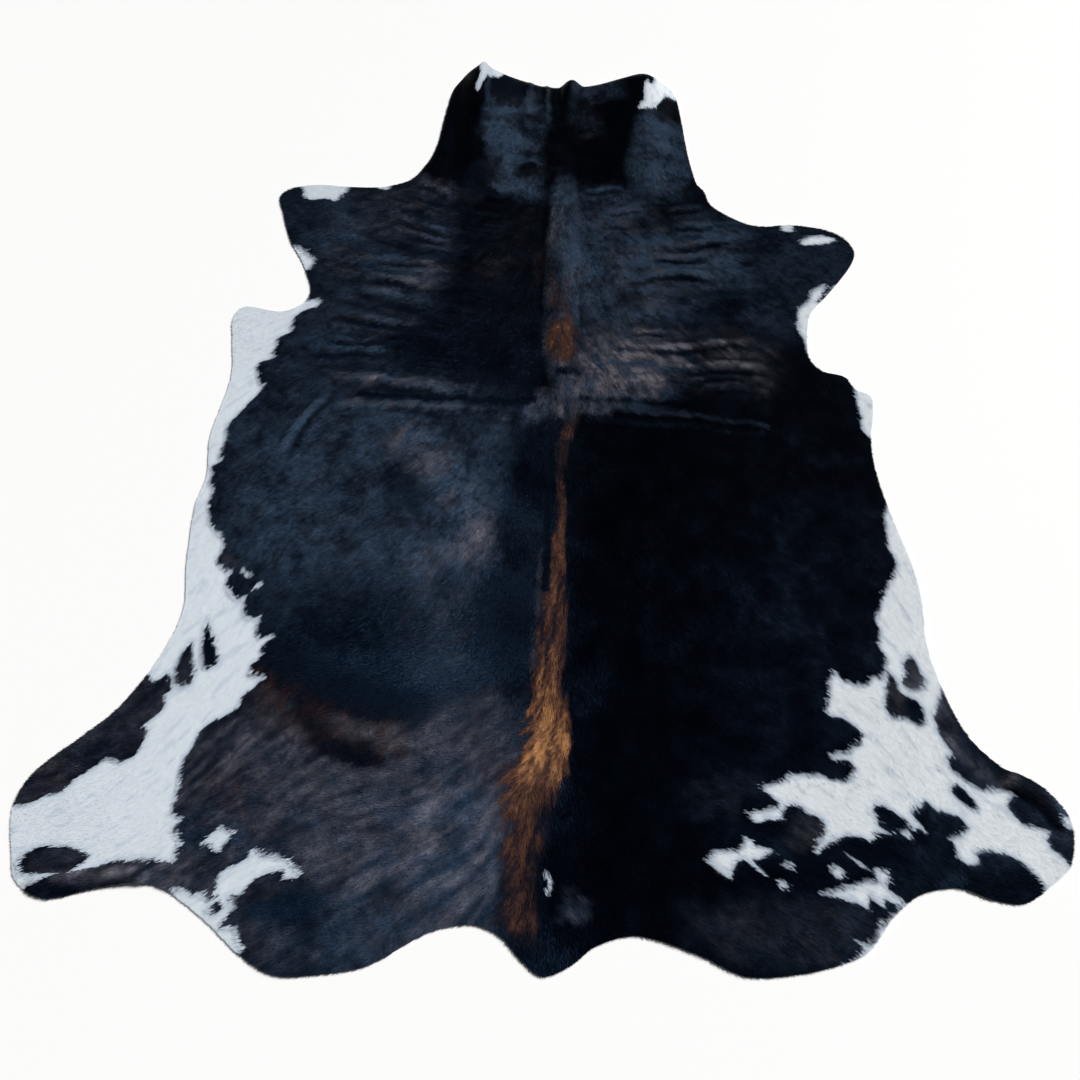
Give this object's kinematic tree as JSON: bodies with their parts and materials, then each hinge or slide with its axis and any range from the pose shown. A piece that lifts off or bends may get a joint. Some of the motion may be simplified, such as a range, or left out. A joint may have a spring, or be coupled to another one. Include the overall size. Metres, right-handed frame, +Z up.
{
  "type": "cowhide rug",
  "caption": "Whole hair-on cowhide rug with neck, legs and tail outline, black coat with white flanks and a tan back stripe, lying flat with soft folds.",
  "frame": {"origin": "middle of the rug's bounding box, at the level of the floor it lies on", "axes": "+Z up from the floor, +Y along the backbone towards the neck, +X to the right as seen from the tail"},
  "size_m": [1.867, 2.3295, 0.0398],
  "materials": {
    "coat": "short dense hair lying flat, blue-black with a soft gloss, white along the flanks and legs, tan along the back",
    "flesh_side": "suede, buff, matt"
  },
  "bodies": {
    "root": {"cowhide": "coat"}
  },
  "joints": []
}
